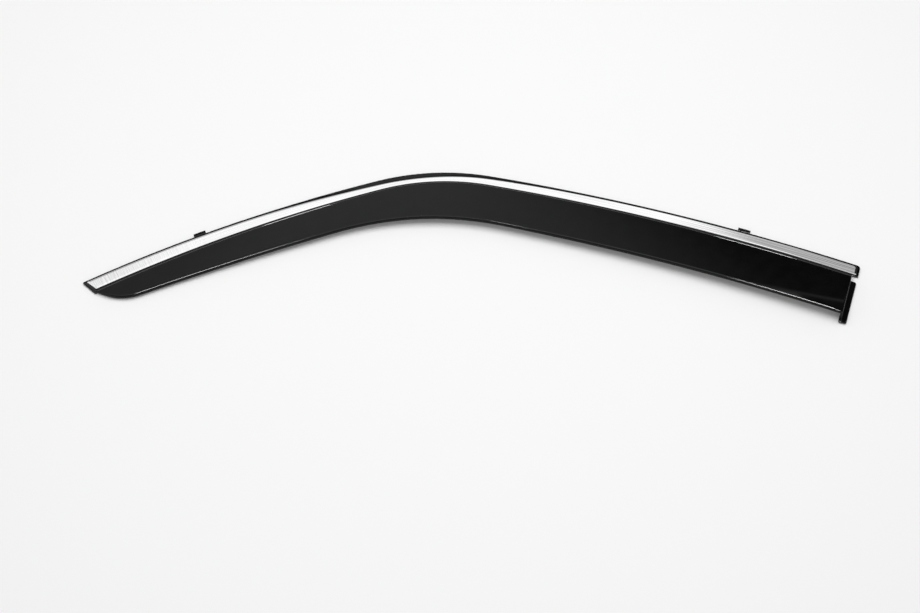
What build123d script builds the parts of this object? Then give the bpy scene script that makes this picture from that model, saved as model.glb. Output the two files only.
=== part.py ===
# Rain deflector for the window of a car's left front door, lying with its outer face up.
# X runs along the door, from the narrow front tip to the wide rear end, and Y runs up the
# door. The tape under the flange is at Z = 0. Millimetres and degrees.
import os
from math import atan2, cos, exp, hypot, pi, radians, sin, tan

from build123d import *

# Top edge in plan: one arc over the corner and one long arc down each arm, all tangent.
# The apex is its highest point, placed so that the origin is the middle of the footprint.
apex_x = -35.34
apex_y = 115.08
corner_radius = 306.0
pillar_turn = 16.8
pillar_radius = 1960.0
pillar_length = 407.0
roof_turn = 11.5
roof_radius = 2860.0
roof_length = 493.4

# Lower edge in plan, drawn the same way from its own apex.
corner_width = 79.2
lower_apex_shift = 17.8
lower_corner_radius = 392.0
lower_pillar_turn = 18.0
lower_pillar_radius = 3650.0
lower_roof_turn = 13.75
lower_roof_radius = 3480.0

# Cuts across the two ends.
tip_cut_angle = 38.0
tip_lip = 1.5
tip_clearance = 3.3
tip_lower_angle = 20.0
tip_radius = 60.0
tip_blunt_radius = 12.0
tip_corner_radius = 1.6
tip_solid = 12.0
end_cut_angle = 17.2
end_corner_radius = 5.0

# Wall of the moulding, and its section at the tip, at the corner and at the rear end.
wall = 2.6
flange_width_tip = 18.0
flange_width_corner = 15.4
flange_width_end = 15.8
riser_run_tip = 4.6
riser_run_corner = 6.2
riser_run_end = 7.2
riser_rise_tip = 3.0
riser_rise_corner = 7.5
riser_rise_end = 6.5
blade_angle_tip = 3.0
blade_angle_corner = 6.0
blade_angle_end = 10.0
blade_bulge = 1.2
blade_bulge_share = 0.85
hood_depth = 1.3
shoulder_radius = 2.2
inner_shoulder_radius = 1.8
rim_radius = 1.0
lip_depth = 3.0

# Rear end: a wall folds down from the blade to a narrow flange, with a relief notch above it.
end_flange_width = 8.0
end_flange_overhang = 4.6
end_flange_radius = 2.5
notch_width = 8.2
notch_clearance = 1.2
end_foot_radius = 1.5
end_rim_radius = 0.8

# Bright strip on the flange, with a dark margin that widens over the corner.
strip_margin_tip = 1.8
strip_margin_end = 3.0
strip_margin_bump = 4.8
bump_place = -50.0
bump_length = 120.0
strip_gap = 0.4
strip_edge = 0.7
strip_thickness = 1.5
strip_bevel = 2.0
strip_tip_inset = 4.0
strip_end_inset = 3.2
strip_corner = 2.0
bond_line = 0.05

# Foam tape under the flange, and the two hooked clips that interrupt it.
tape_thickness = 1.1
tape_width = 10.0
tape_inset = 2.5
tape_end_inset = 6.0
tape_clip_gap = 1.5
tape_pad_inset = 1.2
clip_front_inset = 163.7
clip_rear_inset = 155.8
clip_width = 16.0
clip_sheet = 0.9
clip_seat = 10.0
clip_reach = 4.0
clip_lip = 3.0
clip_bend_radius = 1.2

# Working room past the finished edges for the forms that are trimmed.
trim_margin = 14.0
far = 400.0
tip_trim_length = 130.0
clip_trim_length = 100.0
plate_length = 1600.0
station_count = 23

os.makedirs("parts", exist_ok=True)

pillar_reach = corner_radius * radians(pillar_turn) + pillar_length
roof_reach = corner_radius * radians(roof_turn) + roof_length
clip_places = (clip_front_inset - pillar_reach, roof_reach - clip_rear_inset)
apex = (apex_x, apex_y)
lower_apex = (apex_x - lower_apex_shift, apex_y - corner_width)
flange_bottom = tape_thickness
flange_top = flange_bottom + wall


def top_edge_at(distance):
    # Point and heading of the top edge, by distance from the apex, negative towards the tip.
    turn, radius = (pillar_turn, pillar_radius) if distance < 0 else (roof_turn, roof_radius)
    side = -1 if distance < 0 else 1
    turn = radians(turn)
    past_corner = abs(distance) - corner_radius * turn
    if past_corner <= 0:
        angle = abs(distance) / corner_radius
        across = corner_radius * sin(angle)
        drop = corner_radius * (1 - cos(angle))
    else:
        angle = turn + past_corner / radius
        across = corner_radius * sin(turn) + radius * (sin(angle) - sin(turn))
        drop = corner_radius * (1 - cos(turn)) + radius * (cos(turn) - cos(angle))
    return apex_x + side * across, apex_y - drop, -side * angle


def section_plane(distance, height):
    # Upright plane across the flange: its x runs in from the top edge, its y runs up.
    x, y, heading = top_edge_at(distance)
    inward = (sin(heading), -cos(heading), 0)
    back = (-cos(heading), -sin(heading), 0)
    return Plane(origin=(x, y, height), x_dir=inward, z_dir=back)


def along(distance, at_tip, at_corner, at_end):
    # Value at a distance from the apex, eased between the corner and either end.
    reach, at_far = (pillar_reach, at_tip) if distance < 0 else (roof_reach, at_end)
    share = min(abs(distance) / reach, 1)
    return at_corner + (at_far - at_corner) * (1 - cos(pi * share)) / 2


def tip_point(inset, down):
    # Point by its distance inside the tip cut and its distance down that cut.
    x, y, heading = top_edge_at(-pillar_reach)
    angle = radians(tip_cut_angle)
    return (x + inset * sin(angle) + down * cos(angle), y + inset * cos(angle) - down * sin(angle))


def end_point(inset, down):
    # Point by its distance inside the rear end line and its distance down that line.
    x, y, heading = top_edge_at(roof_reach)
    angle = radians(end_cut_angle)
    return (x - inset * cos(angle) - down * sin(angle), y + inset * sin(angle) - down * cos(angle))


def outer_section(distance):
    # Corners of the outer skin: flange, riser foot, shoulder, middle of the blade, blade end.
    flange = along(distance, flange_width_tip, flange_width_corner, flange_width_end)
    run = along(distance, riser_run_tip, riser_run_corner, riser_run_end)
    rise = along(distance, riser_rise_tip, riser_rise_corner, riser_rise_end)
    slope = radians(along(distance, blade_angle_tip, blade_angle_corner, blade_angle_end))
    length = corner_width + trim_margin - flange - run
    shoulder_u = flange + run
    shoulder_w = wall + rise
    middle_u = shoulder_u + length / 2
    middle_w = shoulder_w + length / 2 * tan(slope) + blade_bulge
    end_u = shoulder_u + length
    end_w = shoulder_w + length * tan(slope)
    return [
        (0, wall),
        (flange, wall),
        (shoulder_u, shoulder_w),
        (middle_u, middle_w),
        (end_u, end_w),
    ]


def inner_section(distance):
    # Corners of the inner skin, one wall inside: below the foot, shoulder, middle, blade end.
    start, foot, shoulder, middle, end = outer_section(distance)
    rise = (end[1] - middle[1]) / (end[0] - middle[0])
    past_end = (end[0] + trim_margin, end[1] + trim_margin * rise)
    inner_foot = offset_corner(start, foot, shoulder)
    inner_shoulder = offset_corner(foot, shoulder, middle)
    inner_middle = offset_corner(shoulder, middle, end)
    inner_end = offset_corner(middle, end, past_end)
    below = (2 * inner_foot[0] - inner_shoulder[0], 2 * inner_foot[1] - inner_shoulder[1])
    return below, inner_shoulder, inner_middle, (past_end[0], inner_end[1] + past_end[1] - end[1])


def strip_edges(distance):
    # Distances of the bright strip's two edges from the top edge.
    margin_corner = (strip_margin_tip + strip_margin_end) / 2
    margin = along(distance, strip_margin_tip, margin_corner, strip_margin_end)
    bump = strip_margin_bump * exp(-(((distance - bump_place) / bump_length) ** 2))
    flange = along(distance, flange_width_tip, flange_width_corner, flange_width_end)
    return margin + bump, flange - strip_gap


def distance_down_end(x, y):
    # Distance of a point down the rear end line.
    start_x, start_y = end_point(0, 0)
    angle = radians(end_cut_angle)
    return (start_x - x) * sin(angle) + (start_y - y) * cos(angle)


def offset_corner(before, corner, after):
    # Corner moved so that both of its sides shift down by the wall.
    angle_in = atan2(corner[1] - before[1], corner[0] - before[0])
    angle_out = atan2(after[1] - corner[1], after[0] - corner[0])
    middle = (angle_in + angle_out) / 2
    reach = wall / cos((angle_out - angle_in) / 2)
    return corner[0] + reach * sin(middle), corner[1] - reach * cos(middle)


def bulge_radius(start, middle, end):
    # Largest round over the middle of the blade that its two halves have room for.
    half = hypot(middle[0] - start[0], middle[1] - start[1])
    angle_in = atan2(middle[1] - start[1], middle[0] - start[0])
    angle_out = atan2(end[1] - middle[1], end[0] - middle[0])
    return blade_bulge_share * half / tan(abs(angle_in - angle_out) / 2)


def arc_chain(top, corner, pillar_arc, roof_arc):
    # Four tangent arcs that fall away from the top point, each arm as turn, radius, length.
    ends = []
    for tangent, hand, arm in (((-1, 0), 1, pillar_arc), ((1, 0), -1, roof_arc)):
        turn, radius, length = arm
        bend = JernArc(top, tangent, corner, hand * turn)
        limb = JernArc(bend @ 1, bend % 1, radius, hand * length / radius * 180 / pi)
        ends.append(limb @ 1)
    return ends


def top_chain(inset):
    pillar_arc = (pillar_turn, pillar_radius - inset, pillar_length + trim_margin)
    roof_arc = (roof_turn, roof_radius - inset, roof_length + trim_margin)
    return arc_chain((apex_x, apex_y - inset), corner_radius - inset, pillar_arc, roof_arc)


def lower_chain():
    pillar_arc = (lower_pillar_turn, lower_pillar_radius, pillar_length)
    roof_arc = (lower_roof_turn, lower_roof_radius, roof_length + corner_width)
    return arc_chain(lower_apex, lower_corner_radius, pillar_arc, roof_arc)


stations = []
first_station = -pillar_reach - trim_margin
station_step = (pillar_reach + roof_reach + 2 * trim_margin) / (station_count - 1)
for station in range(station_count):
    stations.append(first_station + station * station_step)

# Plan of the hood: up to the lower edge, with a blunt tip, and cut short of the rear end.
tip_heading = top_edge_at(-pillar_reach)[2]
tip_shoulder = flange_width_tip + riser_run_tip
tip_cut_length = (tip_shoulder + tip_clearance) / sin(tip_heading + radians(tip_cut_angle))
blunt = tip_point(tip_lip, tip_cut_length)
lower_angle = radians(tip_lower_angle)
with BuildSketch() as outline:
    with BuildLine():
        left, right = lower_chain()
        Polyline(right, (right.X, far), (left.X, far), left)
    make_face()
    with BuildLine():
        Polyline(
            tip_point(tip_lip, -far),
            blunt,
            (blunt[0] + far * cos(lower_angle), blunt[1] - far * sin(lower_angle)),
            end_point(end_flange_width, far),
            end_point(end_flange_width, -far),
            close=True,
        )
    make_face(mode=Mode.INTERSECT)
    fillet(outline.vertices().sort_by_distance(blunt)[:2].sort_by(Axis.X)[-1], tip_radius)
    fillet(outline.vertices().sort_by_distance(blunt)[0], tip_blunt_radius)

# Hollow under the riser and blade, one wall inside the plan, behind a solid tip.
with BuildPart() as core:
    for distance in stations:
        below, shoulder, middle, end = inner_section(distance)
        radii = [0, inner_shoulder_radius, bulge_radius(shoulder, middle, end), 0, 0]
        with BuildSketch(section_plane(distance, flange_bottom)):
            with BuildLine():
                FilletPolyline(
                    below, shoulder, middle, end, (end[0], below[1]), radius=radii, close=True
                )
            make_face()
    loft()
with BuildPart() as hollow:
    add(core.part)
    with BuildSketch():
        add(outline.sketch)
        offset(amount=-wall)
        with BuildLine():
            Polyline(
                tip_point(tip_solid, -far),
                tip_point(tip_solid, tip_trim_length),
                end_point(end_flange_width, far),
                end_point(end_flange_width, -far),
                close=True,
            )
        make_face(mode=Mode.INTERSECT)
    extrude(amount=far, both=True, mode=Mode.INTERSECT)

# The same hollow set lower and run out past the lower edge, which leaves a lip turned down
# there. It stops one more wall short of both ends.
with BuildPart() as undercut:
    add(core.part.moved(Location((0, 0, -lip_depth))))
    with BuildSketch():
        with BuildLine():
            Polyline(
                tip_point(tip_solid + wall, -far),
                tip_point(tip_solid + wall, tip_trim_length),
                end_point(end_flange_width + 2 * wall, far),
                end_point(end_flange_width + 2 * wall, -far),
                close=True,
            )
        make_face()
    extrude(amount=far, both=True, mode=Mode.INTERSECT)

# The hood: solid under its outer skin, trimmed to its plan and rounded along its rim.
with BuildPart() as hood:
    for distance in stations:
        start, foot, shoulder, middle, end = outer_section(distance)
        root = foot[0] - hood_depth * (shoulder[0] - foot[0]) / (shoulder[1] - foot[1])
        bottom = wall - hood_depth
        radii = [0, shoulder_radius, bulge_radius(shoulder, middle, end), 0, 0]
        with BuildSketch(section_plane(distance, flange_bottom)):
            with BuildLine():
                FilletPolyline(
                    (root, bottom), shoulder, middle, end, (end[0], bottom), radius=radii, close=True
                )
            make_face()
    loft()
    extrude(outline.sketch, amount=far, mode=Mode.INTERSECT)
    blade_skin = hood.faces().sort_by(SortBy.AREA)[-2:].sort_by(Axis.Z)[-1]
    rim = blade_skin.edges().sort_by(SortBy.LENGTH)[:-1]
    fillet(rim, rim_radius)

# The flange: a flat band along the top edge, rounded along its outer rim.
step_down = flange_width_end + notch_clearance
with BuildPart() as flange:
    with BuildSketch(Plane.XY.offset(flange_bottom)) as band:
        with BuildLine():
            left, right = top_chain(0)
            Polyline(right, (right.X, -far), (left.X, -far), left)
        make_face()
        with BuildLine():
            left, right = top_chain(tip_shoulder)
            Polyline(right, (right.X, -far), (left.X, -far), left)
        make_face(mode=Mode.SUBTRACT)
        with BuildLine():
            Polyline(
                tip_point(0, -far),
                tip_point(0, tip_trim_length),
                end_point(end_flange_width, far),
                end_point(end_flange_width, step_down),
                end_point(0, step_down),
                end_point(0, -far),
                close=True,
            )
        make_face(mode=Mode.INTERSECT)
        fillet(band.vertices().sort_by_distance(tip_point(0, 0))[0], tip_corner_radius)
        fillet(band.vertices().sort_by_distance(end_point(0, 0))[0], end_corner_radius)
    extrude(amount=wall)
    top_arcs = flange.faces().sort_by(Axis.Z)[-1].edges().sort_by_distance((*apex, flange_top))
    fillet(top_arcs[0], rim_radius)

# The moulding: hood and flange, hollowed, with the rear end's own flange.
lowest = outline.vertices().sort_by(Axis.Y)[0]
end_flange_start = step_down + notch_width
end_flange_stop = end_flange_overhang + distance_down_end(lowest.X, lowest.Y)
with BuildPart() as shield:
    add(hood.part)
    add(flange.part)
    add(hollow.part, mode=Mode.SUBTRACT)
    add(undercut.part, mode=Mode.SUBTRACT)
    with BuildSketch(Plane.XY.offset(flange_bottom)) as end_flange:
        with BuildLine():
            Polyline(
                end_point(0, end_flange_start),
                end_point(0, end_flange_stop),
                end_point(end_flange_width + wall, end_flange_stop),
                end_point(end_flange_width + wall, end_flange_start),
                close=True,
            )
        make_face()
        fillet(end_flange.vertices().sort_by(Axis.Y)[:2], end_flange_radius)
        fillet(end_flange.vertices().sort_by(Axis.X)[-1], end_flange_radius)
    extrude(amount=wall)
    end_skin = shield.faces().filter_by(Plane.XY).group_by(Axis.Z)[-1].sort_by(SortBy.AREA)[0]
    end_lines = end_skin.edges().filter_by(GeomType.LINE).sort_by(SortBy.LENGTH)[-2:]
    fillet(end_lines.sort_by(Axis.X)[-1], end_rim_radius)
    end_skin = shield.faces().filter_by(Plane.XY).group_by(Axis.Z)[-1].sort_by(SortBy.AREA)[0]
    end_lines = end_skin.edges().filter_by(GeomType.LINE).sort_by(SortBy.LENGTH)[-2:]
    fillet(end_lines.sort_by(Axis.X)[0], end_foot_radius)
shield.part.label = "visor_shield"
export_step(shield.part, "parts/visor_shield.step")

# The bright strip, bevelled along both edges, bonded to the flange.
with BuildPart() as strip:
    for distance in stations:
        near, far_side = strip_edges(distance)
        with BuildSketch(section_plane(distance, flange_top + bond_line)):
            with BuildLine():
                Polyline(
                    (near, 0),
                    (near, strip_edge),
                    (near + strip_bevel, strip_thickness),
                    (far_side - strip_bevel, strip_thickness),
                    (far_side, strip_edge),
                    (far_side, 0),
                    close=True,
                )
            make_face()
    loft()
    corner_down = strip_edges(roof_reach)[0] + strip_corner
    with BuildSketch() as strip_trim:
        with BuildLine():
            Polyline(
                tip_point(strip_tip_inset, -far),
                tip_point(strip_tip_inset, tip_trim_length),
                end_point(strip_end_inset, far),
                end_point(strip_end_inset, corner_down),
                end_point(strip_end_inset + far, corner_down - far),
                close=True,
            )
        make_face()
        rounded = strip_trim.vertices().sort_by_distance(end_point(strip_end_inset, corner_down))[0]
        fillet(rounded, strip_corner)
    extrude(amount=far, mode=Mode.INTERSECT)
strip.part.label = "chrome_trim"
export_step(strip.part, "parts/chrome_trim.step")

# Foam tape along the flange, in three runs between the clips, and a pad at the rear end.
with BuildPart() as tape:
    with BuildSketch() as band:
        with BuildLine():
            left, right = top_chain(tape_inset)
            Polyline(right, (right.X, -far), (left.X, -far), left)
        make_face()
        with BuildLine():
            left, right = top_chain(tape_inset + tape_width)
            Polyline(right, (right.X, -far), (left.X, -far), left)
        make_face(mode=Mode.SUBTRACT)
        with BuildLine():
            Polyline(
                tip_point(tape_end_inset, -far),
                tip_point(tape_end_inset, tip_trim_length),
                end_point(tape_end_inset, far),
                end_point(tape_end_inset, -far),
                close=True,
            )
        make_face(mode=Mode.INTERSECT)
        for distance in clip_places:
            x, y, heading = top_edge_at(distance)
            with Locations(Location((x, y), heading * 180 / pi)):
                Rectangle(clip_width + 2 * tape_clip_gap, clip_trim_length, mode=Mode.SUBTRACT)
        with BuildLine():
            Polyline(
                end_point(tape_pad_inset, end_flange_start + tape_pad_inset),
                end_point(tape_pad_inset, end_flange_stop - end_flange_radius),
                end_point(end_flange_width, end_flange_stop - end_flange_radius),
                end_point(end_flange_width, end_flange_start + tape_pad_inset),
                close=True,
            )
        make_face()
    extrude(amount=tape_thickness - bond_line)
runs = tape.solids().sort_by(Axis.X)
for run, run_name in zip(runs, ("tape_pillar", "tape_corner", "tape_roof", "tape_end")):
    run.label = run_name
    export_step(run, "parts/" + run_name + ".step")

# Hooked clips: a plate under the flange whose lip turns up just past the top edge.
clip_bottom = flange_bottom - bond_line - clip_sheet
clip_lip_inner = clip_sheet - clip_reach
for clip_name, distance in zip(("clip_front", "clip_rear"), clip_places):
    with BuildPart() as clip:
        with BuildSketch(section_plane(distance, clip_bottom)):
            with BuildLine():
                FilletPolyline(
                    (clip_seat, 0),
                    (clip_seat, clip_sheet),
                    (clip_lip_inner, clip_sheet),
                    (clip_lip_inner, clip_lip),
                    (-clip_reach, clip_lip),
                    (-clip_reach, 0),
                    radius=[0, 0, clip_bend_radius - clip_sheet, 0, 0, clip_bend_radius],
                    close=True,
                )
            make_face()
        extrude(amount=clip_width / 2, both=True)
    clip.part.label = clip_name
    export_step(clip.part, "parts/" + clip_name + ".step")
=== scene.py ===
import bmesh
import bpy
import numpy as np
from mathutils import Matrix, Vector


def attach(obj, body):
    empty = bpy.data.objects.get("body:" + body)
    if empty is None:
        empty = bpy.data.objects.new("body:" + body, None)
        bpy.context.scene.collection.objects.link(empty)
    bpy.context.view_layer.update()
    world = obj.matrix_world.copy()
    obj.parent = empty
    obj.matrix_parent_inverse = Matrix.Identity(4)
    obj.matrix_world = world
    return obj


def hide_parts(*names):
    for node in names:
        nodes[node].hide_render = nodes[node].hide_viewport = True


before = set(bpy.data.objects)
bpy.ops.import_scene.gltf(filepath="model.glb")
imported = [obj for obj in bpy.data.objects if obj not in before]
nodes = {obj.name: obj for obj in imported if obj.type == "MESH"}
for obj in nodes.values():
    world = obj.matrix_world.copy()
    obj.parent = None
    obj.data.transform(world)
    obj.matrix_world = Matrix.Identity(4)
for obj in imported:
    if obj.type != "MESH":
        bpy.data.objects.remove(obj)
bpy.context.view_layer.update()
print("frame loaded:", len(nodes), "nodes")

metres = 0.001  # shapes are worked out in millimetres and put into the mesh in metres
creaseAngle = 35.0  # degrees; an edge that turns more stays sharp

# The bent top edge: a corner arc with a long arc tangent to it on each side.
topEdge = {
    "apex": (-35.34, 115.08),
    "cornerRadius": 306.0,
    "pillarTurn": 16.8,
    "pillarRadius": 1960.0,
    "pillarLength": 407.0,
    "roofTurn": 11.5,
    "roofRadius": 2860.0,
    "roofLength": 493.4,
}

# Section across the edge; three values are for the tip, the corner and the rear end.
section = {
    "wall": 2.6,
    "flangeBottom": 1.1,
    "flange": (18.0, 15.4, 15.8),
    "riserRun": (4.6, 6.2, 7.2),
    "riserRise": (3.0, 7.5, 6.5),
    "bladeAngle": (3.0, 6.0, 10.0),
    "bladeReach": 93.2,
    "bulge": 1.2,
    "bulgeShare": 0.85,
    "shoulderRadius": 2.2,
    "hoodBottom": 1.3,
    "lipDepth": 3.0,
    "tuck": 0.1,
}
flangeTop = section["flangeBottom"] + section["wall"]

# The cuts across both ends.
ends = {
    "tipAngle": 38.0,
    "tipLip": 1.5,
    "tipClearance": 3.3,
    "tipLowerAngle": 20.0,
    "tipRadius": 60.0,
    "tipBluntRadius": 12.0,
    "tipCornerRadius": 1.6,
    "tipSolid": 12.0,
    "endAngle": 17.2,
    "endCornerRadius": 5.0,
    "endWidth": 8.0,
    "stepDown": 17.0,
    "endStart": 25.2,
    "endOverhang": 4.6,
    "endRadius": 2.5,
    "trimSteps": 12,
}


def unit(angle):
    # direction by its angle from +Y, turning towards +X
    return np.stack([np.sin(angle), np.cos(angle)], axis=-1)


def bearing(direction):
    # the way back, from a direction to its angle
    return np.arctan2(direction[..., 0], direction[..., 1])


def arcCentre(corner, cornerRadius, angle, radius):
    # an arm's arc shares its normal with the corner arc where the two meet
    return np.asarray(corner) + (cornerRadius - radius) * unit(angle)


def armReach(arm):
    # from the apex along the corner arc's part on that side, and then along the arm
    return topEdge["cornerRadius"] * np.radians(topEdge[arm + "Turn"]) + topEdge[arm + "Length"]


pillarReach = armReach("pillar")
roofReach = armReach("roof")
pillarTurn = np.radians(topEdge["pillarTurn"])
roofTurn = np.radians(topEdge["roofTurn"])
cornerCentre = np.array(topEdge["apex"]) - (0, topEdge["cornerRadius"])
pillarCentre = arcCentre(cornerCentre, topEdge["cornerRadius"], -pillarTurn, topEdge["pillarRadius"])
roofCentre = arcCentre(cornerCentre, topEdge["cornerRadius"], roofTurn, topEdge["roofRadius"])


def planPoint(distance, across):
    # a point by its distance along the top edge from the apex and its distance in from that edge:
    # the distance picks an arc and an angle on it, and the point lies on that arc's spoke
    corner = topEdge["cornerRadius"]
    left = distance < -corner * pillarTurn
    right = distance > corner * roofTurn
    angle = np.select(
        [left, right],
        [
            -pillarTurn + (distance + corner * pillarTurn) / topEdge["pillarRadius"],
            roofTurn + (distance - corner * roofTurn) / topEdge["roofRadius"],
        ],
        distance / corner,
    )
    radius = np.select([left, right], [topEdge["pillarRadius"], topEdge["roofRadius"]], corner)
    centre = np.where(left[..., None], pillarCentre, np.where(right[..., None], roofCentre, cornerCentre))
    return centre + (radius - across)[..., None] * unit(angle)


def sectionOf(plan):
    # the way back: the spoke that a point lies on gives its distance, and its radius how far in it is
    corner = topEdge["cornerRadius"]
    away = plan - cornerCentre
    awayLeft = plan - pillarCentre
    awayRight = plan - roofCentre
    angle = bearing(away)
    onArms = [angle < -pillarTurn, angle > roofTurn]
    distance = np.select(
        onArms,
        [
            -corner * pillarTurn + topEdge["pillarRadius"] * (bearing(awayLeft) + pillarTurn),
            corner * roofTurn + topEdge["roofRadius"] * (bearing(awayRight) - roofTurn),
        ],
        corner * angle,
    )
    across = np.select(
        onArms,
        [
            topEdge["pillarRadius"] - np.linalg.norm(awayLeft, axis=-1),
            topEdge["roofRadius"] - np.linalg.norm(awayRight, axis=-1),
        ],
        corner - np.linalg.norm(away, axis=-1),
    )
    return distance, across


def along(distance, values):
    # half a cosine from the corner's value to the tip's or the rear end's
    tip, corner, end = values
    share = np.clip(np.abs(distance) / np.where(distance < 0, pillarReach, roofReach), 0, 1)
    return corner + (np.where(distance < 0, tip, end) - corner) * (1 - np.cos(np.pi * share)) / 2


def skinAt(distance):
    # the section's sizes at a distance along the edge: the corner where riser and blade would meet,
    # their angles there, and how far from that corner the shoulder's round touches them
    foot = along(distance, section["flange"])
    run = along(distance, section["riserRun"])
    rise = along(distance, section["riserRise"])
    slope = np.tan(np.radians(along(distance, section["bladeAngle"])))
    half = (section["bladeReach"] - foot - run) / 2
    riser = np.arctan2(rise, run)
    blade = np.arctan(slope + section["bulge"] / half)
    return {
        "corner": foot + run,
        "run": run,
        "rise": rise,
        "slope": slope,
        "half": half,
        "riser": riser,
        "blade": blade,
        "tangent": section["shoulderRadius"] * np.tan((riser - blade) / 2),
    }


def skinLines(distance, across):
    # heights of the riser's straight line and of the bulged blade, as if each went on for ever:
    # the blade is its chord plus a parabola that runs straight at both ends
    skin = skinAt(distance)
    beyond = across - skin["corner"]
    height = section["wall"] + skin["rise"]
    share = section["bulgeShare"]
    part = beyond / skin["half"]
    bend = np.clip(part - 1 + share, 0, 2 * share)
    swell = part - bend**2 / (2 * share) - 2 * np.maximum(part - 1 - share, 0)
    riserLine = height + beyond * np.tan(skin["riser"])
    return riserLine, height + beyond * skin["slope"] + section["bulge"] * swell


def outerHeight(plan):
    # riser, shoulder round and blade over the flange's underside
    distance, across = sectionOf(plan)
    skin = skinAt(distance)
    riser, tangent = skin["riser"], skin["tangent"]
    riserLine, bladeLine = skinLines(distance, across)
    radius = section["shoulderRadius"]
    beyond = across - skin["corner"]
    centre = radius * np.sin(riser) - tangent * np.cos(riser)
    centreHeight = section["wall"] + skin["rise"] - tangent * np.sin(riser) - radius * np.cos(riser)
    arc = centreHeight + np.sqrt(np.maximum(radius**2 - (beyond - centre) ** 2, 0))
    onRiser = beyond < -tangent * np.cos(riser)
    onArc = beyond < tangent * np.cos(skin["blade"])
    height = np.where(onRiser, riserLine, np.where(onArc, arc, bladeLine))
    return section["flangeBottom"] - section["tuck"] + height


def innerSkin(plan):
    # one wall under the outer skin, square to it, over the flange's underside
    distance, across = sectionOf(plan)
    skin = skinAt(distance)
    riserLine, bladeLine = skinLines(distance, across)
    underRiser = riserLine - section["wall"] / np.cos(skin["riser"])
    return np.minimum(underRiser, bladeLine - section["wall"] / np.cos(skin["blade"]))


def innerHeight(plan):
    # the hollow's roof, or the flat underside of the solid tip
    solid = tipInset(plan) < ends["tipSolid"]
    skin = np.maximum(innerSkin(plan), section["tuck"])
    return section["flangeBottom"] + np.where(solid, section["hoodBottom"], skin)


def lipHeight(plan):
    # foot of the hood's border: the lip under the lower edge, or the walls that close both ends
    closed = (tipInset(plan) < ends["tipSolid"]) | (endInset(plan) < ends["endWidth"] + section["wall"])
    lip = np.where(closed, section["hoodBottom"], innerSkin(plan) - section["lipDepth"])
    return section["flangeBottom"] + np.maximum(lip, section["hoodBottom"])


def level(height):
    # the same height all over the plan
    return lambda plan: np.full(plan.shape[:-1], height)


tipAngle = np.radians(ends["tipAngle"])
endAngle = np.radians(ends["endAngle"])
tipStart = planPoint(np.array(-pillarReach), np.array(0.0))
endStart = planPoint(np.array(roofReach), np.array(0.0))
tipInward = unit(tipAngle)
tipDown = unit(tipAngle + np.pi / 2)
endInward = unit(endAngle - np.pi / 2)
endDown = unit(endAngle + np.pi)


def tipPoint(inset, down):
    # a point by its distances in from the tip's cut and down along it
    return tipStart + np.multiply.outer(inset, tipInward) + np.multiply.outer(down, tipDown)


def endPoint(inset, down):
    # the same for the rear end's cut
    return endStart + np.multiply.outer(inset, endInward) + np.multiply.outer(down, endDown)


def tipInset(plan):
    # how far in from the tip's cut a point lies
    return (plan - tipStart) @ tipInward


def endInset(plan):
    # how far in from the rear end's cut a point lies
    return (plan - endStart) @ endInward


def trimRows(rowAcross, tipGap, endGap):
    # each row keeps its own distance from the top edge; where it meets the two end lines is found
    # by moving along the row, over and over, by the gap that is left
    first = np.full((rowAcross(np.zeros((1, 1))).shape[0], 1), -pillarReach)
    last = np.full_like(first, roofReach)
    for step in range(ends["trimSteps"]):
        first += tipGap - tipInset(planPoint(first, rowAcross(first)))
        last -= endGap - endInset(planPoint(last, rowAcross(last)))
    return first, last


def ownDistances(rowsAt):
    # lets every row have distances of its own: row k is taken from the rows at row k's distances
    def rowAcross(distance):
        if len(distance) == 1:
            return rowsAt(distance)
        return np.stack([rowsAt(distance[k:k + 1])[k] for k in range(len(distance))])

    return rowAcross


# How a plate's border is rounded, where its piece has no values of its own.
border = {
    "rimSteps": 6,
    "lip": 0.3,
    "clearance": section["tuck"] / 3,
    "mitreLimit": 0.4,
}


def borderOf(rows, columns):
    # the rows and columns of the points once round a grid's border
    rowOf = np.concatenate([
        np.zeros(columns - 1, int),
        np.arange(rows - 1),
        np.full(columns - 1, rows - 1),
        np.arange(rows - 1, 0, -1),
    ])
    columnOf = np.concatenate([
        np.arange(columns - 1),
        np.full(rows - 1, columns - 1),
        np.arange(columns - 1, 0, -1),
        np.zeros(rows - 1, int),
    ])
    return rowOf, columnOf


def mitredNormals(ring):
    # outward at each point of a ring: the sum of its two edges' normals, as long as a mitre
    edge = np.roll(ring, -1, axis=0) - ring
    edge /= np.linalg.norm(edge, axis=1, keepdims=True)
    after = np.stack([edge[:, 1], -edge[:, 0]], axis=1)
    turned = ring[:, 0] * np.roll(ring[:, 1], -1) - ring[:, 1] * np.roll(ring[:, 0], -1)
    after *= np.sign(turned.sum())
    before = np.roll(after, 1, axis=0)
    opening = 1 + (before * after).sum(axis=1, keepdims=True)
    return (before + after) / np.maximum(opening, border["mitreLimit"])


def gridFaces(index):
    # four-sided faces between neighbouring rows and columns of point numbers
    corners = [index[:-1, :-1], index[:-1, 1:], index[1:, 1:], index[1:, :-1]]
    return np.stack(corners, axis=-1).reshape(-1, 4)


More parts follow.
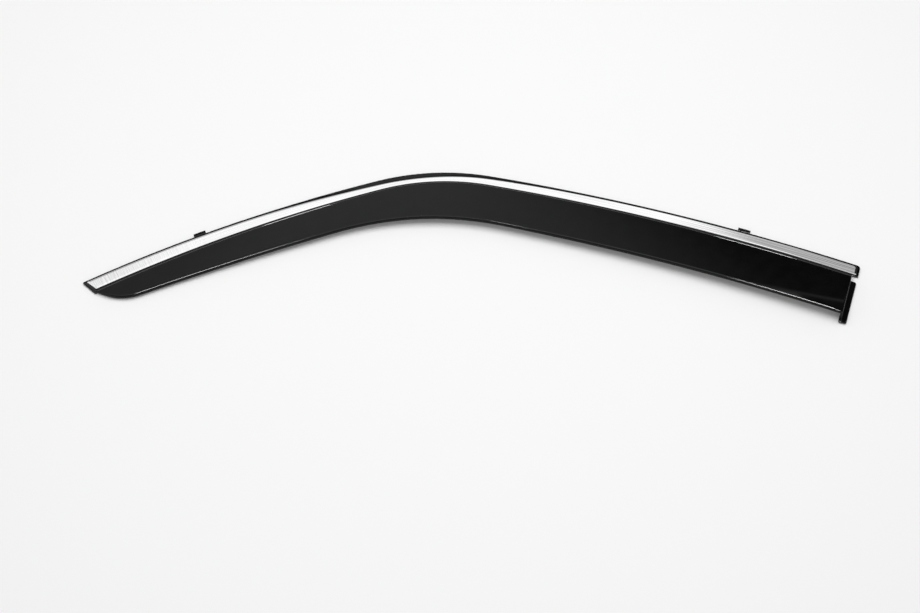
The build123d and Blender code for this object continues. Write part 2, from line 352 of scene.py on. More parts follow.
def shellMesh(
    plan, rim, topOf, bottomOf, under=None, footOf=None, lastRim=None,
    dullRows=0, dullFrom=None, rimSteps=border["rimSteps"], lip=border["lip"],
):
    # A plate over a plan grid: the top grid, its border carried out in a quarter round and down
    # the side to its foot, and the grid underneath. The last row may have a round of its own. The
    # dull finish lies on the first rows of the top and on the last row's side from one of its
    # layers down.
    rows, columns = plan.shape[:2]
    rowOf, columnOf = borderOf(rows, columns)
    onLastRow = rowOf == rows - 1
    ring = plan[rowOf, columnOf]
    outward = mitredNormals(ring)
    rim = np.full(len(ring), rim)
    if lastRim is not None:
        rim[onLastRow] = lastRim[columnOf[onLastRow]]
    reach = (rim - border["clearance"])[:, None]
    layers = []
    for angle in np.linspace(0, np.pi / 2, rimSteps)[1:]:
        spot = ring + outward * reach * np.sin(angle)
        layers.append((spot, topOf(spot) - rim * (1 - np.cos(angle))))
    outline = ring + outward * reach
    foot = (footOf or bottomOf)(outline)
    layers.append((outline, foot + lip))
    layers.append((outline - outward * lip, foot))
    if under is None:
        under = plan
    else:
        layers.append((under[rowOf, columnOf], foot))
    flat = plan.reshape(-1, 2)
    flatUnder = under.reshape(-1, 2)
    points = [np.column_stack([flat, topOf(flat)]), np.column_stack([flatUnder, bottomOf(flatUnder)])]
    points += [np.column_stack(layer) for layer in layers]
    top = np.arange(rows * columns).reshape(rows, columns)
    bottom = top + rows * columns
    between = 2 * rows * columns + np.arange(len(layers) * len(ring)).reshape(len(layers), len(ring))
    side = np.vstack([top[rowOf, columnOf], between, bottom[rowOf, columnOf]])
    side = np.concatenate([side, side[:, :1]], axis=1)
    dullTop = np.zeros((rows - 1, columns - 1), int)
    dullTop[:dullRows] = 1
    dullSide = np.zeros((len(side) - 1, len(ring)), int)
    if dullFrom is not None:
        dullSide[dullFrom:] = onLastRow
    finish = np.concatenate([dullTop.ravel(), np.zeros(dullTop.size, int), dullSide.ravel()])
    return np.concatenate(points), [gridFaces(top), gridFaces(bottom), gridFaces(side)], finish


def makePiece(name, parts, slotName, *replaced):
    # one object from several closed sheets, faces turned outwards; a sheet is its points, its
    # blocks of faces and the number of each face's finish
    points = np.concatenate([part[0] for part in parts])
    starts = np.cumsum([0] + [len(part[0]) for part in parts])
    faces = []
    for part, start in zip(parts, starts):
        for block in part[1]:
            faces += (block + start).tolist()
    finish = np.concatenate([part[2] for part in parts])
    mesh = bpy.data.meshes.new(name)
    mesh.from_pydata((points * metres).tolist(), [], faces)
    work = bmesh.new()
    work.from_mesh(mesh)
    bmesh.ops.recalc_face_normals(work, faces=work.faces)
    work.to_mesh(mesh)
    work.free()
    distance, across = sectionOf(points[:, :2])
    flow = np.column_stack([distance, across, points[:, 2]]) * metres
    mesh.attributes.new("flow", "FLOAT_VECTOR", "POINT").data.foreach_set("vector", flow.ravel())
    mesh.polygons.foreach_set("use_smooth", np.ones(len(mesh.polygons), bool))
    mesh.polygons.foreach_set("material_index", finish)
    mesh.set_sharp_from_angle(angle=np.radians(creaseAngle))
    piece = bpy.data.objects.new(name, mesh)
    bpy.context.scene.collection.objects.link(piece)
    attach(piece, "root")
    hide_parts(*replaced)
    print(name, len(mesh.vertices), "points,", len(mesh.polygons), "faces")
    return piece


# The hood: riser and blade, out to the lower edge with its blunt round tip.
hood = {
    "rim": 0.5,
    "rimSteps": 10,
    "nose": 2.0,
    "noseEase": (30.0, 14.0),
    "dullFrom": 3,
    "lowerApex": (-53.14, 35.88),
    "lowerCornerRadius": 392.0,
    "lowerPillarTurn": 18.0,
    "lowerPillarRadius": 3650.0,
    "lowerRoofTurn": 13.75,
    "lowerRoofRadius": 3480.0,
    "rootDepth": 0.5,
    "riserRows": 7,
    "shoulderRows": 10,
    "bladeRows": 34,
    "lastRow": 0.995,
    "columns": (5, 6, 24, 70, 80, 120),
    "besideWall": 0.03,
}


def lowerEdge(endGap):
    # the lower edge as points and inward directions, arc by arc; the last columns stand close on
    # either side of the rear wall's inner face and at a gap from its outer face
    lowerTurn = np.radians(hood["lowerPillarTurn"])
    farTurn = np.radians(hood["lowerRoofTurn"])
    lowAngle = np.radians(ends["tipLowerAngle"])
    corner = np.array(hood["lowerApex"]) - (0, hood["lowerCornerRadius"])
    pillar = arcCentre(corner, hood["lowerCornerRadius"], -lowerTurn, hood["lowerPillarRadius"])
    roof = arcCentre(corner, hood["lowerCornerRadius"], farTurn, hood["lowerRoofRadius"])
    tipHeading = pillarTurn + topEdge["pillarLength"] / topEdge["pillarRadius"]
    tipSection = section["flange"][0] + section["riserRun"][0] + ends["tipClearance"]
    cutLength = tipSection / np.sin(tipHeading + tipAngle)
    blunt = tipPoint(ends["tipLip"], cutLength)
    bluntTangent = ends["tipBluntRadius"] * np.tan((tipAngle - lowAngle) / 2)
    bluntCentre = tipPoint(ends["tipLip"] + ends["tipBluntRadius"], cutLength - bluntTangent)
    lineDown = unit(lowAngle + np.pi / 2)
    # the tip's round touches the low line and the pillar arc: its centre is one radius over the
    # line and one radius outside the arc's circle
    over = blunt + ends["tipRadius"] * unit(lowAngle) - pillar
    middle = over @ lineDown
    span = over @ over - (hood["lowerPillarRadius"] + ends["tipRadius"]) ** 2
    lineLength = -middle - np.copysign(np.sqrt(middle**2 - span), -middle)
    roundCentre = blunt + ends["tipRadius"] * unit(lowAngle) + lineLength * lineDown
    roundEnd = bearing(roundCentre - pillar)
    beside = hood["besideWall"]
    rearInsets = ends["endWidth"] + np.array([section["wall"] + beside, section["wall"] - beside, endGap])
    lastAngles = endAngle + np.arcsin((endInset(roof) - rearInsets) / (hood["lowerRoofRadius"] + endGap))
    counts = hood["columns"]
    lineShare = np.linspace(bluntTangent, lineLength, counts[1], endpoint=False)
    pieces = [
        (bluntCentre, -ends["tipBluntRadius"], np.linspace(tipAngle, lowAngle, counts[0], endpoint=False)),
        (blunt + lineShare[:, None] * lineDown, 0.0, np.full(counts[1], lowAngle)),
        (roundCentre, -ends["tipRadius"], np.linspace(lowAngle, roundEnd, counts[2], endpoint=False)),
        (pillar, hood["lowerPillarRadius"], np.linspace(roundEnd, -lowerTurn, counts[3], endpoint=False)),
        (corner, hood["lowerCornerRadius"], np.linspace(-lowerTurn, farTurn, counts[4], endpoint=False)),
        (roof, hood["lowerRoofRadius"], np.linspace(farTurn, lastAngles[0], counts[5], endpoint=False)),
        (roof, hood["lowerRoofRadius"], lastAngles),
    ]
    edge = np.concatenate([centre + radius * unit(angles) for centre, radius, angles in pieces])
    return edge, np.concatenate([unit(angles) for centre, radius, angles in pieces])


def noseRadius(edge):
    # the lower edge's round: small at both ends, easing up to its full size along the edge
    steps = np.linalg.norm(np.diff(edge, axis=0), axis=1)
    travel = np.concatenate([[0], np.cumsum(steps)])
    fromTip = travel / hood["noseEase"][0]
    fromEnd = (travel[-1] - travel) / hood["noseEase"][1]
    share = np.clip(np.minimum(fromTip, fromEnd), 0, 1)
    return hood["rim"] + (hood["nose"] - hood["rim"]) * share * share * (3 - 2 * share)


def hoodRows(distance):
    # rows from just under the foot up the riser, then round the shoulder by equal angles
    skin = skinAt(distance)
    riser, tangent = skin["riser"], skin["tangent"]
    root = -skin["run"] - hood["rootDepth"]
    share = np.linspace(0, 1, hood["riserRows"], endpoint=False)[:, None]
    riserRows = root + share * (-tangent * np.cos(riser) - root)
    turn = np.linspace(0, 1, hood["shoulderRows"])[:, None]
    centre = section["shoulderRadius"] * np.sin(riser) - tangent * np.cos(riser)
    shoulderRows = centre - section["shoulderRadius"] * np.sin(riser + turn * (skin["blade"] - riser))
    return skin["corner"] + np.concatenate([riserRows, shoulderRows])


def hoodPlan(lower, tipGap, endGap):
    # rows up the riser and round the shoulder, then ruled down the blade to the lower path
    lowerDistance, lowerAcross = sectionOf(lower)
    share = (lowerDistance - lowerDistance[0]) / (lowerDistance[-1] - lowerDistance[0])
    rowAcross = ownDistances(hoodRows)
    first, last = trimRows(rowAcross, tipGap, endGap)
    upperDistance = first + (last - first) * share
    upperAcross = rowAcross(upperDistance)
    down = np.append(np.linspace(0, 1, hood["bladeRows"] + 1)[1:-1], [hood["lastRow"], 1])[:, None]
    bladeDistance = upperDistance[-1] + down * (lowerDistance - upperDistance[-1])
    bladeAcross = upperAcross[-1] + down * (lowerAcross - upperAcross[-1])
    return planPoint(
        np.concatenate([upperDistance, bladeDistance]), np.concatenate([upperAcross, bladeAcross])
    )


wall = section["wall"]
edge, inward = lowerEdge(hood["rim"])
underEdge, underInward = lowerEdge(wall)
nose = noseRadius(edge)
hoodShell = shellMesh(
    hoodPlan(edge + nose[:, None] * inward, ends["tipLip"] + hood["rim"], ends["endWidth"] + hood["rim"]),
    hood["rim"],
    outerHeight,
    innerHeight,
    under=hoodPlan(underEdge + wall * underInward, ends["tipLip"] + wall, ends["endWidth"] + wall),
    footOf=lipHeight,
    lastRim=nose,
    dullRows=hood["riserRows"],
    dullFrom=hood["dullFrom"],
    rimSteps=hood["rimSteps"],
)

# The bright strip on the flange, with a straight bevel along each edge.
strip = {
    "rim": 0.05,
    "lip": 0.1,
    "margin": (2.9, 4.5, 3.1),
    "marginBump": 4.2,
    "bumpPlace": -50.0,
    "bumpLength": 120.0,
    "gap": 0.4,
    "thickness": 0.85,
    "bevel": (0.4, 1.4),
    "rise": (0.06, 0.21),
    "tipInset": 4.0,
    "endInset": 3.2,
    "endCorner": 2.0,
    "bond": 0.05,
    "columns": 300,
    "bevelRows": 7,
    "bevelCrowding": 3,
    "flatRows": 8,
}


def stripEdges(distance):
    # the dark margin is eased end to end, with a bell-shaped swell over the corner
    swell = strip["marginBump"] * np.exp(-(((distance - strip["bumpPlace"]) / strip["bumpLength"]) ** 2))
    near = along(distance, strip["margin"]) + swell
    return near, along(distance, section["flange"]) - strip["gap"]


def stripTop(plan):
    # a flat crown that falls away in a straight bevel along each edge
    distance, across = sectionOf(plan)
    near, far = stripEdges(distance)
    nearFall = strip["rise"][0] * np.clip(1 - (across - near) / strip["bevel"][0], 0, 1)
    farFall = strip["rise"][1] * np.clip(1 - (far - across) / strip["bevel"][1], 0, 1)
    return flangeTop + strip["bond"] + strip["thickness"] - nearFall - farFall


def stripRows(distance):
    # rows over the near bevel, the flat crown and the far bevel; bevel rows crowd to the edges
    near, far = stripEdges(distance)
    near = near + strip["rim"]
    far = far - strip["rim"]
    nearBevel, farBevel = strip["bevel"]
    bevelShare = np.linspace(0, 1, strip["bevelRows"])[:, None] ** strip["bevelCrowding"]
    flatShare = np.linspace(0, 1, strip["flatRows"])[1:-1, None]
    return np.concatenate([
        near + bevelShare * nearBevel,
        near + nearBevel + flatShare * (far - near - nearBevel - farBevel),
        far - bevelShare[::-1] * farBevel,
    ])


def stripPlan(rim):
    # columns from the tip's cut to the rear end, which slants off its corner by the top edge
    rowAcross = ownDistances(stripRows)
    first, last = trimRows(rowAcross, strip["tipInset"] + rim, strip["endInset"] + rim)
    cornerAcross = rowAcross(last) - stripEdges(last)[0] - rim
    last -= np.maximum(strip["endCorner"] - cornerAcross, 0)
    distance = first + (last - first) * np.linspace(0, 1, strip["columns"])
    return planPoint(distance, rowAcross(distance))


stripShell = shellMesh(
    stripPlan(strip["rim"]), strip["rim"], stripTop, level(flangeTop + strip["bond"]), lip=strip["lip"]
)

# The flange: a flat band along the top edge, with rounded corners at both ends.
band = {
    "rim": 0.3,
    "marginRows": (0, 0.03, 0.5, 0.97, 1),
    "rows": (0.02, 0.3, 0.7, 0.98, 1),
    "marginSlope": 13.0,
    "marginDrop": 1.3,
    "edgeColumns": 260,
    "cornerColumns": 8,
}


def bandTop(plan):
    # flat under the bright strip, falling away at a slight slope outside it
    distance, across = sectionOf(plan)
    outside = stripEdges(distance)[0] - across
    outside = np.maximum(outside, strip["tipInset"] - tipInset(plan))
    outside = np.maximum(outside, strip["endInset"] - endInset(plan))
    drop = np.maximum(outside, 0) * np.tan(np.radians(band["marginSlope"]))
    return flangeTop - np.minimum(drop, band["marginDrop"])


def cornerCentreOn(pointAt, radius, armCentre, armRadius):
    # centre of a corner round: one radius inside the end line and one radius inside the top edge
    start = pointAt(radius, 0.0) - armCentre
    step = pointAt(0.0, 1.0) - pointAt(0.0, 0.0)
    middle = start @ step
    span = start @ start - (armRadius - radius) ** 2
    down = -middle - np.sqrt(middle**2 - span)
    return pointAt(radius, down)


def bandUpper(rim):
    # the top edge between its two corner rounds, one rim inside the outline
    tipRound = cornerCentreOn(tipPoint, ends["tipCornerRadius"], pillarCentre, topEdge["pillarRadius"])
    endRound = cornerCentreOn(endPoint, ends["endCornerRadius"], roofCentre, topEdge["roofRadius"])
    tipStop = bearing(tipRound - pillarCentre)
    tipTurn = np.linspace(tipAngle - np.pi, tipStop, band["cornerColumns"], endpoint=False)
    endTurn = np.linspace(bearing(endRound - roofCentre), endAngle + np.pi / 2, band["cornerColumns"])
    edgeFirst = sectionOf(tipRound)[0]
    edgeLast = sectionOf(endRound)[0]
    edgeDistance = np.linspace(edgeFirst, edgeLast, band["edgeColumns"], endpoint=False)
    return np.concatenate([
        tipRound + (ends["tipCornerRadius"] - rim) * unit(tipTurn),
        planPoint(edgeDistance, np.full_like(edgeDistance, rim)),
        endRound + (ends["endCornerRadius"] - rim) * unit(endTurn),
    ])


def bandPlan(rim):
    # ruled from the top edge to an inner line that is hidden in the riser's wall
    upper = bandUpper(rim)
    steps = np.linalg.norm(np.diff(upper, axis=0), axis=1)
    share = np.concatenate([[0], np.cumsum(steps)]) / steps.sum()

    def innerRow(distance):
        # where the inner skin comes down to the flange's underside
        foot = along(distance, section["flange"])
        riser = np.arctan2(along(distance, section["riserRise"]), along(distance, section["riserRun"]))
        return foot + section["wall"] * np.tan(riser / 2) - rim

    firstInner, lastInner = trimRows(innerRow, rim, rim)
    innerDistance = (firstInner + (lastInner - firstInner) * share)[0]
    innerAcross = innerRow(innerDistance)
    inner = planPoint(innerDistance, innerAcross)
    # under the solid tip the band runs on to the shoulder, and at the rear end it stops at a step
    atTip = tipInset(inner) < ends["tipSolid"]
    shoulder = section["flange"][0] + section["riserRun"][0] - rim
    inner = np.where(atTip[:, None], planPoint(innerDistance, np.full_like(innerAcross, shoulder)), inner)
    inset = endInset(inner)
    atStep = endStart + inset[:, None] * endInward + (ends["stepDown"] - rim) * endDown
    inner = np.where((inset < ends["endWidth"] + section["wall"])[:, None], atStep, inner)
    # one row follows the strip's edge, where the margin's slope begins
    crease = (stripEdges(innerDistance)[0] - rim) / (innerAcross - rim)
    down = np.concatenate([
        np.array(band["marginRows"])[:, None] * crease,
        crease + np.array(band["rows"])[:, None] * (1 - crease),
    ])
    return upper + down[..., None] * (inner - upper)


bandShell = shellMesh(bandPlan(band["rim"]), band["rim"], bandTop, level(section["flangeBottom"]))

# The rear end: the narrow flange that the hood's end wall stands on, with a rounded inside corner.
rear = {
    "rim": 0.8,
    "cornerColumns": 8,
    "columns": 14,
    "rows": 6,
    "slope": 11.0,
    "slopeStart": 6.0,
    "footRadius": 1.5,
    "footSteps": 7,
    "footSunk": 0.3,
    "footColumns": 24,
}
lowestDown = (lowerEdge(0.0)[0][-1] - endStart) @ endDown
endStop = lowestDown + ends["endOverhang"]


def rearFlangePlan(rim):
    # a long rectangle whose sides draw in by a quarter circle at its rounded corners
    radius = ends["endRadius"] - rim
    turn = np.linspace(0, np.pi / 2, rear["cornerColumns"])
    ease = radius * (1 - np.cos(turn))
    start = ends["endStart"] + rim
    stop = endStop - rim
    down = np.concatenate([
        start + ease,
        np.linspace(start + radius, stop - radius, rear["columns"])[1:-1],
        (stop - ease)[::-1],
    ])
    atStart = np.clip(radius - (down - start), 0, radius)
    atStop = np.clip(radius - (stop - down), 0, radius)
    outer = rim + radius - np.sqrt(radius**2 - np.maximum(atStart, atStop) ** 2)
    width = ends["endWidth"] + section["wall"]
    inner = width - rim - radius + np.sqrt(radius**2 - atStop**2)
    share = np.linspace(0, 1, rear["rows"])[:, None]
    inset = outer + share * (inner - outer)
    return endStart + inset[..., None] * endInward + down[:, None] * endDown


def rearTop(plan):
    # level by the fold, then falling away towards the outer edge
    outside = np.maximum(rear["slopeStart"] - endInset(plan), 0)
    return flangeTop - outside * np.tan(np.radians(rear["slope"]))


def footSweep():
    # a hollow quarter round between the end wall and its flange, carried down the end line
    turn = np.linspace(0, np.pi / 2, rear["footSteps"])
    radius = rear["footRadius"]
    sunk = rear["footSunk"]
    inset = ends["endWidth"] - radius + radius * np.sin(turn)
    height = flangeTop + radius - radius * np.cos(turn)
    inset = np.concatenate([inset, [ends["endWidth"] + sunk, ends["endWidth"] + sunk, inset[0]]])
    height = np.concatenate([height, [height[-1], flangeTop - sunk, flangeTop - sunk]])
    down = np.linspace(ends["endStart"] + rear["rim"], lowestDown - hood["rim"], rear["footColumns"])
    spot = endStart + inset[:, None, None] * endInward + down[:, None] * endDown
    points = np.concatenate([spot, np.broadcast_to(height[:, None, None], (*spot.shape[:2], 1))], axis=-1)
    count = len(inset)
    index = np.arange(count * len(down)).reshape(count, len(down))
    # each end is closed by a fan about the sunk corner
    ring = np.arange(count)
    sunkCorner = count - 2
    fan = np.stack([np.full(count, sunkCorner), ring, np.roll(ring, -1)], axis=1)
    fan = fan[(fan[:, 1:] != sunkCorner).all(axis=1)]
    faces = [gridFaces(np.concatenate([index, index[:1]])), index[fan, 0], index[fan, -1]]
    return points.reshape(-1, 3), faces, np.zeros(sum(map(len, faces)), int)


rearShell = shellMesh(rearFlangePlan(rear["rim"]), rear["rim"], rearTop, level(section["flangeBottom"]))
shieldSheets = [hoodShell, bandShell, rearShell, footSweep()]
shield = makePiece("visorShield", shieldSheets, "gloss_black", "visor_shield")
chrome = makePiece("chromeTrim", [stripShell], "bright_strip", "chrome_trim")

# Finishes
noiseSpan = (0.3, 0.7)  # where most of a noise's values lie
toneSpan = (0.35, 0.65)


def newMaterial(name):
    material = bpy.data.materials.new(name)
    material.use_nodes = True
    tree = material.node_tree
    return material, tree, tree.nodes["Principled BSDF"]


def objectPlace(tree):
    return tree.nodes.new("ShaderNodeTexCoord").outputs["Object"]


def splitOn(tree, source):
    split = tree.nodes.new("ShaderNodeSeparateXYZ")
    tree.links.new(source, split.inputs["Vector"])
    return split.outputs


def noiseOn(tree, source, scale, detail):
    noise = tree.nodes.new("ShaderNodeTexNoise")
    noise.inputs["Scale"].default_value = scale
    noise.inputs["Detail"].default_value = detail
    tree.links.new(source, noise.inputs["Vector"])
    return noise.outputs["Fac"]


def remapOn(tree, source, span, low, high, interpolation="LINEAR"):
    # carries a span of the source to low and high, and stops there
    remap = tree.nodes.new("ShaderNodeMapRange")
    remap.interpolation_type = interpolation
    remap.inputs["From Min"].default_value, remap.inputs["From Max"].default_value = span
    remap.inputs["To Min"].default_value = low
    remap.inputs["To Max"].default_value = high
    tree.links.new(source, remap.inputs["Value"])
    return remap.outputs["Result"]


def mathOn(tree, operation, source, other):
    # the other side is a node's output or a number
    node = tree.nodes.new("ShaderNodeMath")
    node.operation = operation
    tree.links.new(source, node.inputs[0])
    if isinstance(other, float):
        node.inputs[1].default_value = other
    else:
        tree.links.new(other, node.inputs[1])
    return node.outputs["Value"]


def mixOn(tree, kind, factor, without, full):
    mix = tree.nodes.new("ShaderNodeMix")
    mix.data_type = kind
    tree.links.new(factor, mix.inputs["Factor"])
    tree.links.new(without, mix.inputs["A"])
    tree.links.new(full, mix.inputs["B"])
    return mix.outputs["Result"]


def twoTone(tree, source, dark, light):
    ramp = tree.nodes.new("ShaderNodeValToRGB")
    for element, place, color in zip(ramp.color_ramp.elements, toneSpan, (dark, light)):
        element.position = place
        element.color = (*color, 1)
    tree.links.new(source, ramp.inputs["Fac"])
    return ramp.outputs["Color"]


def bumpOn(tree, source, strength, depth):
    bump = tree.nodes.new("ShaderNodeBump")
    bump.inputs["Strength"].default_value = strength
    bump.inputs["Distance"].default_value = depth
    tree.links.new(source, bump.inputs["Height"])
    return bump.outputs["Normal"]


def dress(tree, shader, grain, finish, bumps):
    # one grain gives the tones and the roughness, and the bumps may be another's
    tree.links.new(twoTone(tree, grain, finish["dark"], finish["light"]), shader.inputs["Base Color"])
    tree.links.new(remapOn(tree, grain, noiseSpan, *finish["roughness"]), shader.inputs["Roughness"])
    tree.links.new(bumpOn(tree, bumps, *finish["bump"]), shader.inputs["Normal"])


# Polished dark acrylic: a little haze and a faint ripple from moulding.
gloss = {
    "dark": (0.0025, 0.0025, 0.0027),
    "light": (0.0036, 0.0036, 0.0039),
    "haze": (60.0, 2.0),
    "roughness": (0.03, 0.05),
    "ripple": (25.0, 1.0),
    "bump": (0.05, 0.0002),
    "bending": 1.49,
}


def glossBlack():
    material, tree, shader = newMaterial("glossBlack")
    place = objectPlace(tree)
    ripple = noiseOn(tree, place, *gloss["ripple"])
    dress(tree, shader, noiseOn(tree, place, *gloss["haze"]), gloss, ripple)
    shader.inputs["IOR"].default_value = gloss["bending"]
    return material


# The step beside the strip and the trimmed lower edge, both left dull.
dull = {
    "dark": (0.0025, 0.0025, 0.0027),
    "light": (0.004, 0.004, 0.0042),
    "marks": (1200.0, 3.0),
    "roughness": (0.4, 0.55),
    "bump": (0.2, 0.00005),
    "mirroring": 0.12,
}


def dullBlack():
    material, tree, shader = newMaterial("dullBlack")
    marks = noiseOn(tree, objectPlace(tree), *dull["marks"])
    dress(tree, shader, marks, dull, marks)
    shader.inputs["Specular IOR Level"].default_value = dull["mirroring"]
    return material


# Bright plating with fine drawing lines along its length and lines across it at the tip; towards the rear
# end the lines keep their full contrast, which darkens the plating there as painted shade for a dimmer
# reflection; the spans are metres along the top edge from its apex.
plating = {
    "dark": (0.45, 0.45, 0.455),
    "light": (0.97, 0.97, 0.975),
    "lengthwise": (8.0, 900.0, 0.0),
    "crosswise": (700.0, 40.0, 0.0),
    "lines": (1.0, 3.0),
    "tipSpan": (-0.3, -0.42),
    "endShadeSpan": (0.3, 0.38),
    "calm": (0.54, 0.66),
    "roughness": (0.05, 0.1),
    "bump": (0.1, 0.00001),
}


def brightStrip():
    material, tree, shader = newMaterial("brightStrip")
    flow = tree.nodes.new("ShaderNodeAttribute")
    flow.attribute_name = "flow"

    def linesOn(scale):
        mapping = tree.nodes.new("ShaderNodeMapping")
        mapping.inputs["Scale"].default_value = scale
        tree.links.new(flow.outputs["Vector"], mapping.inputs["Vector"])
        return noiseOn(tree, mapping.outputs["Vector"], *plating["lines"])

    distance = splitOn(tree, flow.outputs["Vector"])["X"]
    atTip = remapOn(tree, distance, plating["tipSpan"], 0.0, 1.0)
    endShade = remapOn(tree, distance, plating["endShadeSpan"], 0.0, 1.0)
    drawn = mixOn(tree, "FLOAT", atTip, linesOn(plating["lengthwise"]), linesOn(plating["crosswise"]))
    calm = remapOn(tree, drawn, noiseSpan, *plating["calm"])
    # painted shade: towards the rear end the full-contrast lines darken the plating, standing in for its
    # dimmer reflection there
    depth = mixOn(tree, "FLOAT", endShade, calm, drawn)
    shade = twoTone(tree, depth, plating["dark"], plating["light"])
    tree.links.new(shade, shader.inputs["Base Color"])
    tree.links.new(remapOn(tree, drawn, noiseSpan, *plating["roughness"]), shader.inputs["Roughness"])
    tree.links.new(bumpOn(tree, drawn, *plating["bump"]), shader.inputs["Normal"])
    shader.inputs["Metallic"].default_value = 1.0
    return material


# Stamped sheet with a satin coat.
satin = {
    "dark": (0.006, 0.006, 0.0065),
    "light": (0.011, 0.011, 0.0115),
    "grain": (900.0, 2.0),
    "roughness": (0.35, 0.5),
    "bump": (0.15, 0.00003),
}


def clipBlack():
    material, tree, shader = newMaterial("clipBlack")
    grain = noiseOn(tree, objectPlace(tree), *satin["grain"])
    dress(tree, shader, grain, satin, grain)
    return material


# Grey closed-cell foam with a red release film on its lower face.
foam = {
    "dark": (0.05, 0.05, 0.052),
    "light": (0.11, 0.11, 0.115),
    "cells": (1500.0, 4.0),
    "bump": (0.4, 0.0003),
    "roughness": 0.7,
    "filmTop": 0.0001,
    "filmDark": (0.42, 0.02, 0.02),
    "filmLight": (0.5, 0.03, 0.03),
    "filmPatches": (40.0, 2.0),
}


def foamTape():
    material, tree, shader = newMaterial("foamTape")
    place = objectPlace(tree)
    cells = noiseOn(tree, place, *foam["cells"])
    patches = noiseOn(tree, place, *foam["filmPatches"])
    grey = twoTone(tree, cells, foam["dark"], foam["light"])
    film = twoTone(tree, patches, foam["filmDark"], foam["filmLight"])
    low = mathOn(tree, "LESS_THAN", splitOn(tree, place)["Z"], foam["filmTop"])
    tree.links.new(mixOn(tree, "RGBA", low, grey, film), shader.inputs["Base Color"])
    tree.links.new(bumpOn(tree, cells, *foam["bump"]), shader.inputs["Normal"])
    shader.inputs["Roughness"].default_value = foam["roughness"]
    return material


shield.data.materials.append(glossBlack())
shield.data.materials.append(dullBlack())
chrome.data.materials.append(brightStrip())
clipFinish = clipBlack()
tapeFinish = foamTape()
for nodeName, node in nodes.items():
    if nodeName.startswith("clip_"):
        node.material_slots[0].material = clipFinish
    if nodeName.startswith("tape_"):
        node.material_slots[0].material = tapeFinish
print("finishes set")

# Camera at the photograph's height and distance.
view = {
    "elevation": 59.5,
    "distance": 2.76,
    "aim": (-0.01579, -0.0884, 0.0),
    "lens": 85.0,
}
tilt = np.radians(view["elevation"])
camera = bpy.data.objects.new("camera", bpy.data.cameras.new("camera"))
camera.data.lens = view["lens"]
camera.location = np.array(view["aim"]) + view["distance"] * np.array([0, -np.cos(tilt), np.sin(tilt)])
camera.rotation_euler = (np.pi / 2 - tilt, 0, 0)
bpy.context.scene.collection.objects.link(camera)
bpy.context.scene.camera = camera

# Studio, in metres: a white floor, a broad lamp overhead, and cards and strip lights to be mirrored.
floor = {
    "size": 12.0,
    "drop": 0.0003,
    "color": 0.9,
    "glow": 0.06,
}


def flatSheet(name, corners, height, material):
    # one level four-sided face
    mesh = bpy.data.meshes.new(name)
    mesh.from_pydata([(*corner, height) for corner in corners], [], [(0, 1, 2, 3)])
    mesh.materials.append(material)
    sheet = bpy.data.objects.new(name, mesh)
    bpy.context.scene.collection.objects.link(sheet)
    return sheet


def floorFinish():
    # matte white that also glows a little, for the camera and for mirrors
    material, tree, shader = newMaterial("floorWhite")
    shader.inputs["Base Color"].default_value = (*[floor["color"]] * 3, 1)
    shader.inputs["Roughness"].default_value = 1.0
    shader.inputs["Specular IOR Level"].default_value = 0.0
    path = tree.nodes.new("ShaderNodeLightPath")
    seen = mathOn(tree, "MAXIMUM", path.outputs["Is Camera Ray"], path.outputs["Is Glossy Ray"])
    shader.inputs["Emission Color"].default_value = (1, 1, 1, 1)
    tree.links.new(mathOn(tree, "MULTIPLY", seen, floor["glow"]), shader.inputs["Emission Strength"])
    return material


half = floor["size"] / 2
floorCorners = ((-half, -half), (half, -half), (half, half), (-half, half))
flatSheet("floor", floorCorners, -floor["drop"], floorFinish())

# Each fade is where it starts and stops along X, and what is left of the glow there.
cardHeight = 2.0
cards = {
    "stripCard": {
        "corners": ((-2.4, 0.3), (1.1, 0.62), (1.1, 2.1), (-2.4, 0.56)),
        "strength": 1.1,
        "fades": ((0.58, 0.7, 0.5), (-0.6, -0.9, 0.82)),
    },
    "edgeCard": {
        "corners": ((-2.4, -0.1), (1.6, -0.1), (1.6, 0.6), (-2.4, 0.28)),
        "strength": 1.1,
        "fades": ((-0.6, -0.9, 0.82),),
    },
    "bladeCard": {
        "corners": ((-2.0, 0.78), (2.0, 2.53), (2.0, 3.2), (-2.0, 2.75)),
        "strength": 0.52,
        "fades": ((-0.15, 1.2, 0.03), (-0.65, -1.0, 0.75)),
    },
    "endCard": {
        "corners": ((1.1, 0.62), (2.6, 0.62), (2.6, 2.7), (1.1, 2.1)),
        "strength": 0.03,
        "fades": ((1.3, 2.6, 0.5),),
    },
}


def cardFinish(name, strength, fades):
    # an even glow, times each of its smooth fades
    material, tree, shader = newMaterial(name)
    tree.nodes.remove(shader)
    sideways = splitOn(tree, objectPlace(tree))["X"]
    glow = tree.nodes.new("ShaderNodeValue").outputs["Value"]
    glow.default_value = strength
    for start, stop, left in fades:
        fade = remapOn(tree, sideways, (start, stop), 1.0, left, "SMOOTHSTEP")
        glow = mathOn(tree, "MULTIPLY", glow, fade)
    light = tree.nodes.new("ShaderNodeEmission")
    tree.links.new(glow, light.inputs["Strength"])
    tree.links.new(light.outputs["Emission"], tree.nodes["Material Output"].inputs["Surface"])
    return material


for name, card in cards.items():
    finish = cardFinish(name, card["strength"], card["fades"])
    sheet = flatSheet(name, card["corners"], cardHeight, finish)
    sheet.visible_camera = False
    sheet.visible_diffuse = False
    sheet.visible_shadow = False

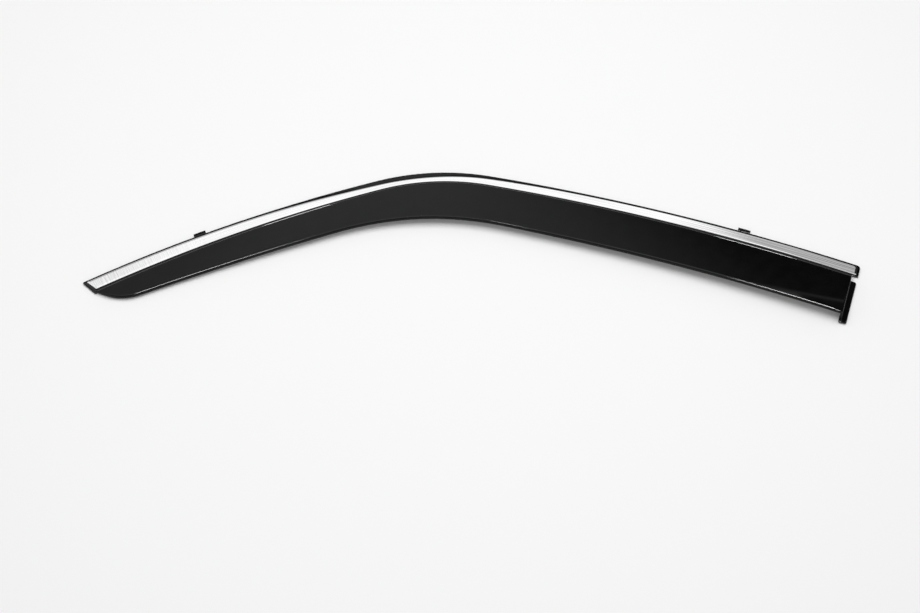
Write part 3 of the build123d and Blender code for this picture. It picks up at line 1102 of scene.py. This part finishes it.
# The key lights the floor and the part; the strip lights are only there for the shield to mirror.
keyLamp = {"place": (0.0, 0.2, 2.4), "size": (2.2, 1.7), "power": 41.0, "aimed": True}
stripLights = {
    "backLeft": {"place": (-0.97, 3.0, 0.85), "size": (0.26, 1.2), "power": 24.0, "aimed": True},
    "backFarLeft": {"place": (-1.5, 3.0, 0.85), "size": (0.8, 1.2), "power": 7.0, "aimed": True},
    "backRight": {"place": (1.25, 3.0, 0.85), "size": (0.26, 1.2), "power": 24.0, "aimed": True},
    "overLeft": {"place": (-0.36, 0.12, 1.95), "size": (0.36, 0.4), "power": 16.0, "aimed": False},
    "overRight": {"place": (0.4, -0.04, 1.95), "size": (0.3, 0.4), "power": 26.0, "aimed": False},
}


def areaLight(name, lamp):
    # a rectangle that faces the origin where it is aimed, and straight down otherwise
    light = bpy.data.objects.new(name, bpy.data.lights.new(name, "AREA"))
    light.data.shape = "RECTANGLE"
    light.data.size, light.data.size_y = lamp["size"]
    light.data.energy = lamp["power"]
    light.location = lamp["place"]
    if lamp["aimed"]:
        light.rotation_euler = (-Vector(lamp["place"])).to_track_quat("-Z", "Y").to_euler()
    light.visible_camera = False
    bpy.context.scene.collection.objects.link(light)
    return light


areaLight("keyLamp", keyLamp).visible_glossy = False
mirrors = bpy.data.collections.new("mirrors")
mirrors.objects.link(shield)
for name, lamp in stripLights.items():
    light = areaLight(name, lamp)
    light.visible_diffuse = False
    light.light_linking.receiver_collection = mirrors

# A pale sky, dimmer behind the part so that its back edges stay dark.
sky = {
    "front": 0.45,
    "back": 0.18,
    "turn": (0.4, 0.9),
}
world = bpy.data.worlds.new("studio")
world.use_nodes = True
skyTree = world.node_tree
background = skyTree.nodes["Background"]
background.inputs["Color"].default_value = (1, 1, 1, 1)
direction = skyTree.nodes.new("ShaderNodeTexCoord").outputs["Generated"]
backward = splitOn(skyTree, direction)["Y"]
dimming = remapOn(skyTree, backward, sky["turn"], sky["front"], sky["back"], "SMOOTHSTEP")
skyTree.links.new(dimming, background.inputs["Strength"])
bpy.context.scene.world = world
bpy.context.scene.view_settings.view_transform = "Standard"
print("camera and studio ready")
